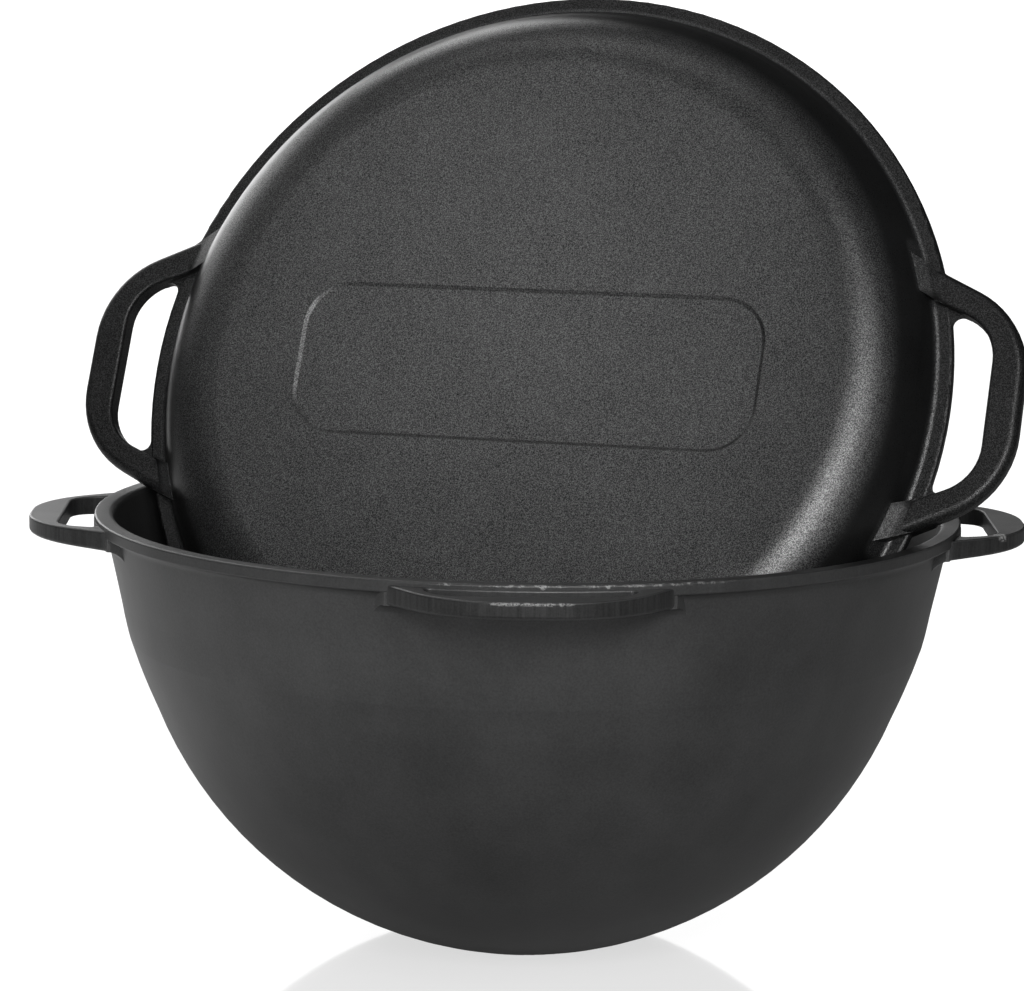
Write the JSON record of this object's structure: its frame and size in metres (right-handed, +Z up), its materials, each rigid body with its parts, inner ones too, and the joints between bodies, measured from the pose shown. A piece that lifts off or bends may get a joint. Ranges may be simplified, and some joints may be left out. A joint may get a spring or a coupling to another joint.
{
  "type": "kazan",
  "caption": "Round-bottomed cast iron kazan with a collar rim and slotted loop ears, its shallow lid, which is also a pan, leaning in the mouth.",
  "frame": {"origin": "centre of the small flat foot under the bowl, on the surface it stands on", "axes": "+Z up along the bowl's axis; -Y towards the viewer of the picture, through the front ear; +X to the right, through the right ear"},
  "size_m": [0.414, 0.414, 0.3898],
  "materials": {
    "bowl_iron": "seasoned cast iron, satin, ground on the ears and rim",
    "lid_iron": "seasoned cast iron, fine sandy as-cast grain"
  },
  "bodies": {
    "bowl": {"kazan_bowl": "bowl_iron"},
    "lid": {"lid_pan": "lid_iron"}
  },
  "joints": [
    {"name": "lid_lift", "type": "slide", "parent": "bowl", "child": "lid", "axis": [0, 0, 1], "range_m": [0, 0.15]}
  ]
}
